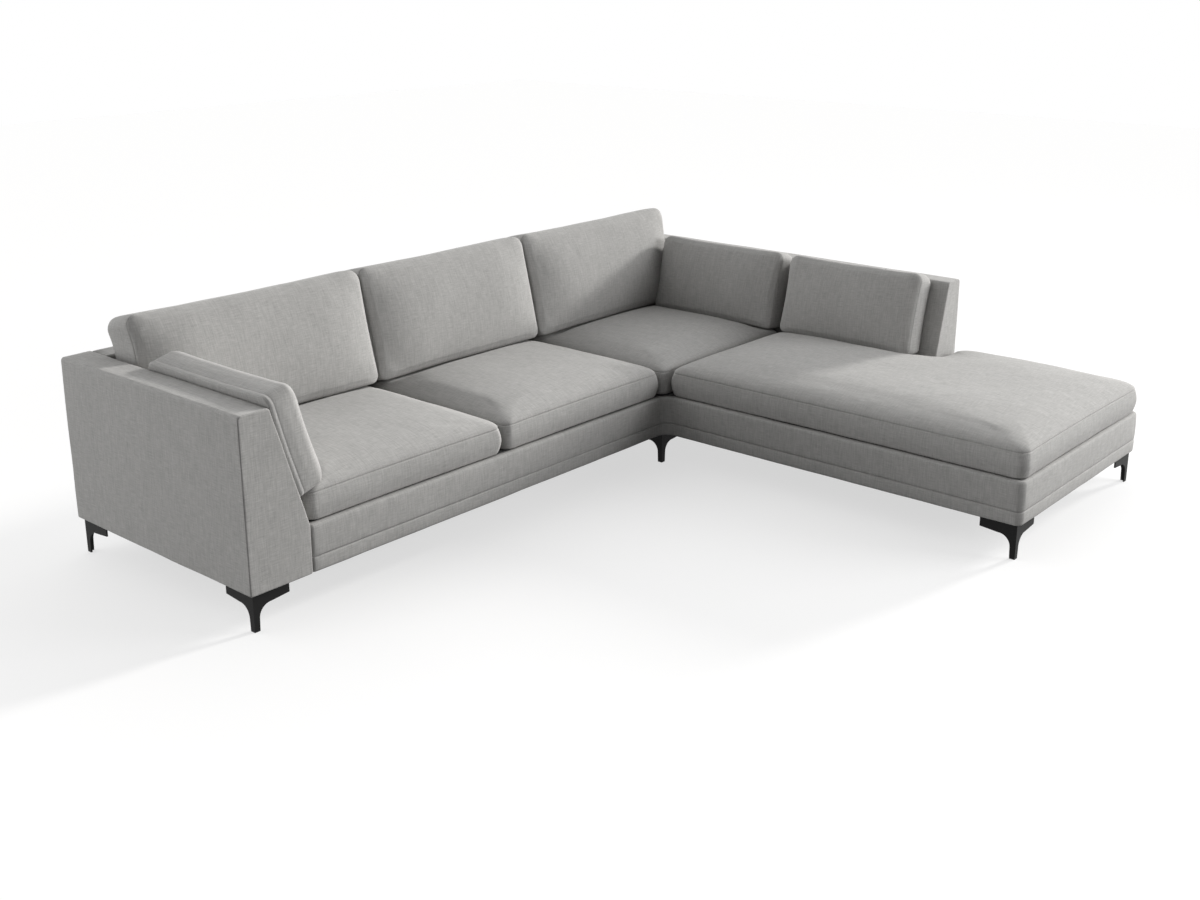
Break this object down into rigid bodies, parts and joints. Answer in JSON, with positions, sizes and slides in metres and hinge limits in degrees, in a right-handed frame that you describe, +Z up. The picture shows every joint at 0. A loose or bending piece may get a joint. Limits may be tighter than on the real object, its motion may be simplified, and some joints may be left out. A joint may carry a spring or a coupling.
{
  "type": "corner sofa",
  "caption": "L-shaped corner sofa with one padded arm, loose crowned seat and back cushions, and a return that ends in an open backless seat on angled metal legs.",
  "frame": {"origin": "on the floor, under the middle of the overall rectangle", "axes": "+X along the main run towards the return, +Y towards the main back, +Z up"},
  "size_m": [3, 2.457, 0.8308],
  "materials": {
    "upholstery": "plain-woven grey linen-look cloth over foam",
    "platform_cloth": "dark padded platform cloth",
    "dust_cloth": "thin black non-woven cloth",
    "webbing": "elastic webbing",
    "timber": "sawn softwood and plywood",
    "black_metal": "matt black powder coat",
    "zinc_steel": "zinc-plated",
    "glide_plastic": "black"
  },
  "bodies": {
    "frame": {"arm_cover": "upholstery", "arm_ribs": "timber", "arm_sole": "timber", "arm_top_rail": "timber", "back_cover_corner": "upholstery", "back_cover_main": "upholstery", "back_ribs_corner": "timber", "back_ribs_main": "timber", "back_sole_corner": "timber", "back_sole_main": "timber", "back_top_rail_corner": "timber", "back_top_rail_main": "timber", "corner_joint_rail": "timber", "foot_glides": "glide_plastic", "inner_corner_block": "timber", "joining_bolts": "zinc_steel", "joining_nuts": "zinc_steel", "leg_bolts": "zinc_steel", "leg_end_inner": "black_metal", "leg_end_outer": "black_metal", "leg_front_left": "black_metal", "leg_inner_corner": "black_metal", "leg_rear_left": "black_metal", "leg_rear_right": "black_metal", "main_dust_cover": "dust_cloth", "main_front_band": "upholstery", "main_front_rail": "timber", "main_platform": "platform_cloth", "main_rear_rail": "timber", "main_side_rails": "timber", "main_stretcher": "timber", "main_webbing": "webbing", "return_back_cover": "upholstery", "return_cross_rails": "timber", "return_dust_cover": "dust_cloth", "return_end_band": "upholstery", "return_end_rail": "timber", "return_inner_band": "upholstery", "return_inner_rail": "timber", "return_outer_band": "upholstery", "return_outer_rails": "timber", "return_platform": "platform_cloth", "return_ribs": "timber", "return_sole": "timber", "return_top_rail": "timber", "return_webbing": "webbing", "support_legs": "black_metal"},
    "seat_1": {"seat_cushion_1": "upholstery"},
    "seat_2": {"seat_cushion_2": "upholstery"},
    "seat_corner": {"seat_cushion_corner": "upholstery"},
    "seat_chaise": {"seat_cushion_chaise": "upholstery"},
    "back_1": {"back_cushion_1": "upholstery"},
    "back_2": {"back_cushion_2": "upholstery"},
    "back_3": {"back_cushion_3": "upholstery"},
    "back_4": {"back_cushion_4": "upholstery"},
    "back_5": {"back_cushion_5": "upholstery"},
    "arm_pad": {"arm_pad": "upholstery"}
  },
  "joints": [
    {"name": "seat_1_lift", "type": "slide", "parent": "frame", "child": "seat_1", "axis": [0, 0, 1], "range_m": [0, 0.25]},
    {"name": "seat_2_lift", "type": "slide", "parent": "frame", "child": "seat_2", "axis": [0, 0, 1], "range_m": [0, 0.25]},
    {"name": "seat_corner_lift", "type": "slide", "parent": "frame", "child": "seat_corner", "axis": [0, 0, 1], "range_m": [0, 0.25]},
    {"name": "seat_chaise_lift", "type": "slide", "parent": "frame", "child": "seat_chaise", "axis": [0, 0, 1], "range_m": [0, 0.25]},
    {"name": "back_1_lift", "type": "slide", "parent": "seat_1", "child": "back_1", "axis": [0, 0.2397, 0.9708], "range_m": [0, 0.3]},
    {"name": "back_2_lift", "type": "slide", "parent": "seat_2", "child": "back_2", "axis": [0, 0.2397, 0.9708], "range_m": [0, 0.3]},
    {"name": "back_3_lift", "type": "slide", "parent": "seat_corner", "child": "back_3", "axis": [0, 0.2397, 0.9708], "range_m": [0, 0.3]},
    {"name": "back_4_lift", "type": "slide", "parent": "seat_corner", "child": "back_4", "axis": [0.2397, 0, 0.9708], "range_m": [0, 0.3]},
    {"name": "back_5_lift", "type": "slide", "parent": "seat_chaise", "child": "back_5", "axis": [0.2397, 0, 0.9708], "range_m": [0, 0.3]},
    {"name": "arm_pad_lift", "type": "slide", "parent": "seat_1", "child": "arm_pad", "axis": [-0.2841, 0, 0.9588], "range_m": [0, 0.3]}
  ]
}
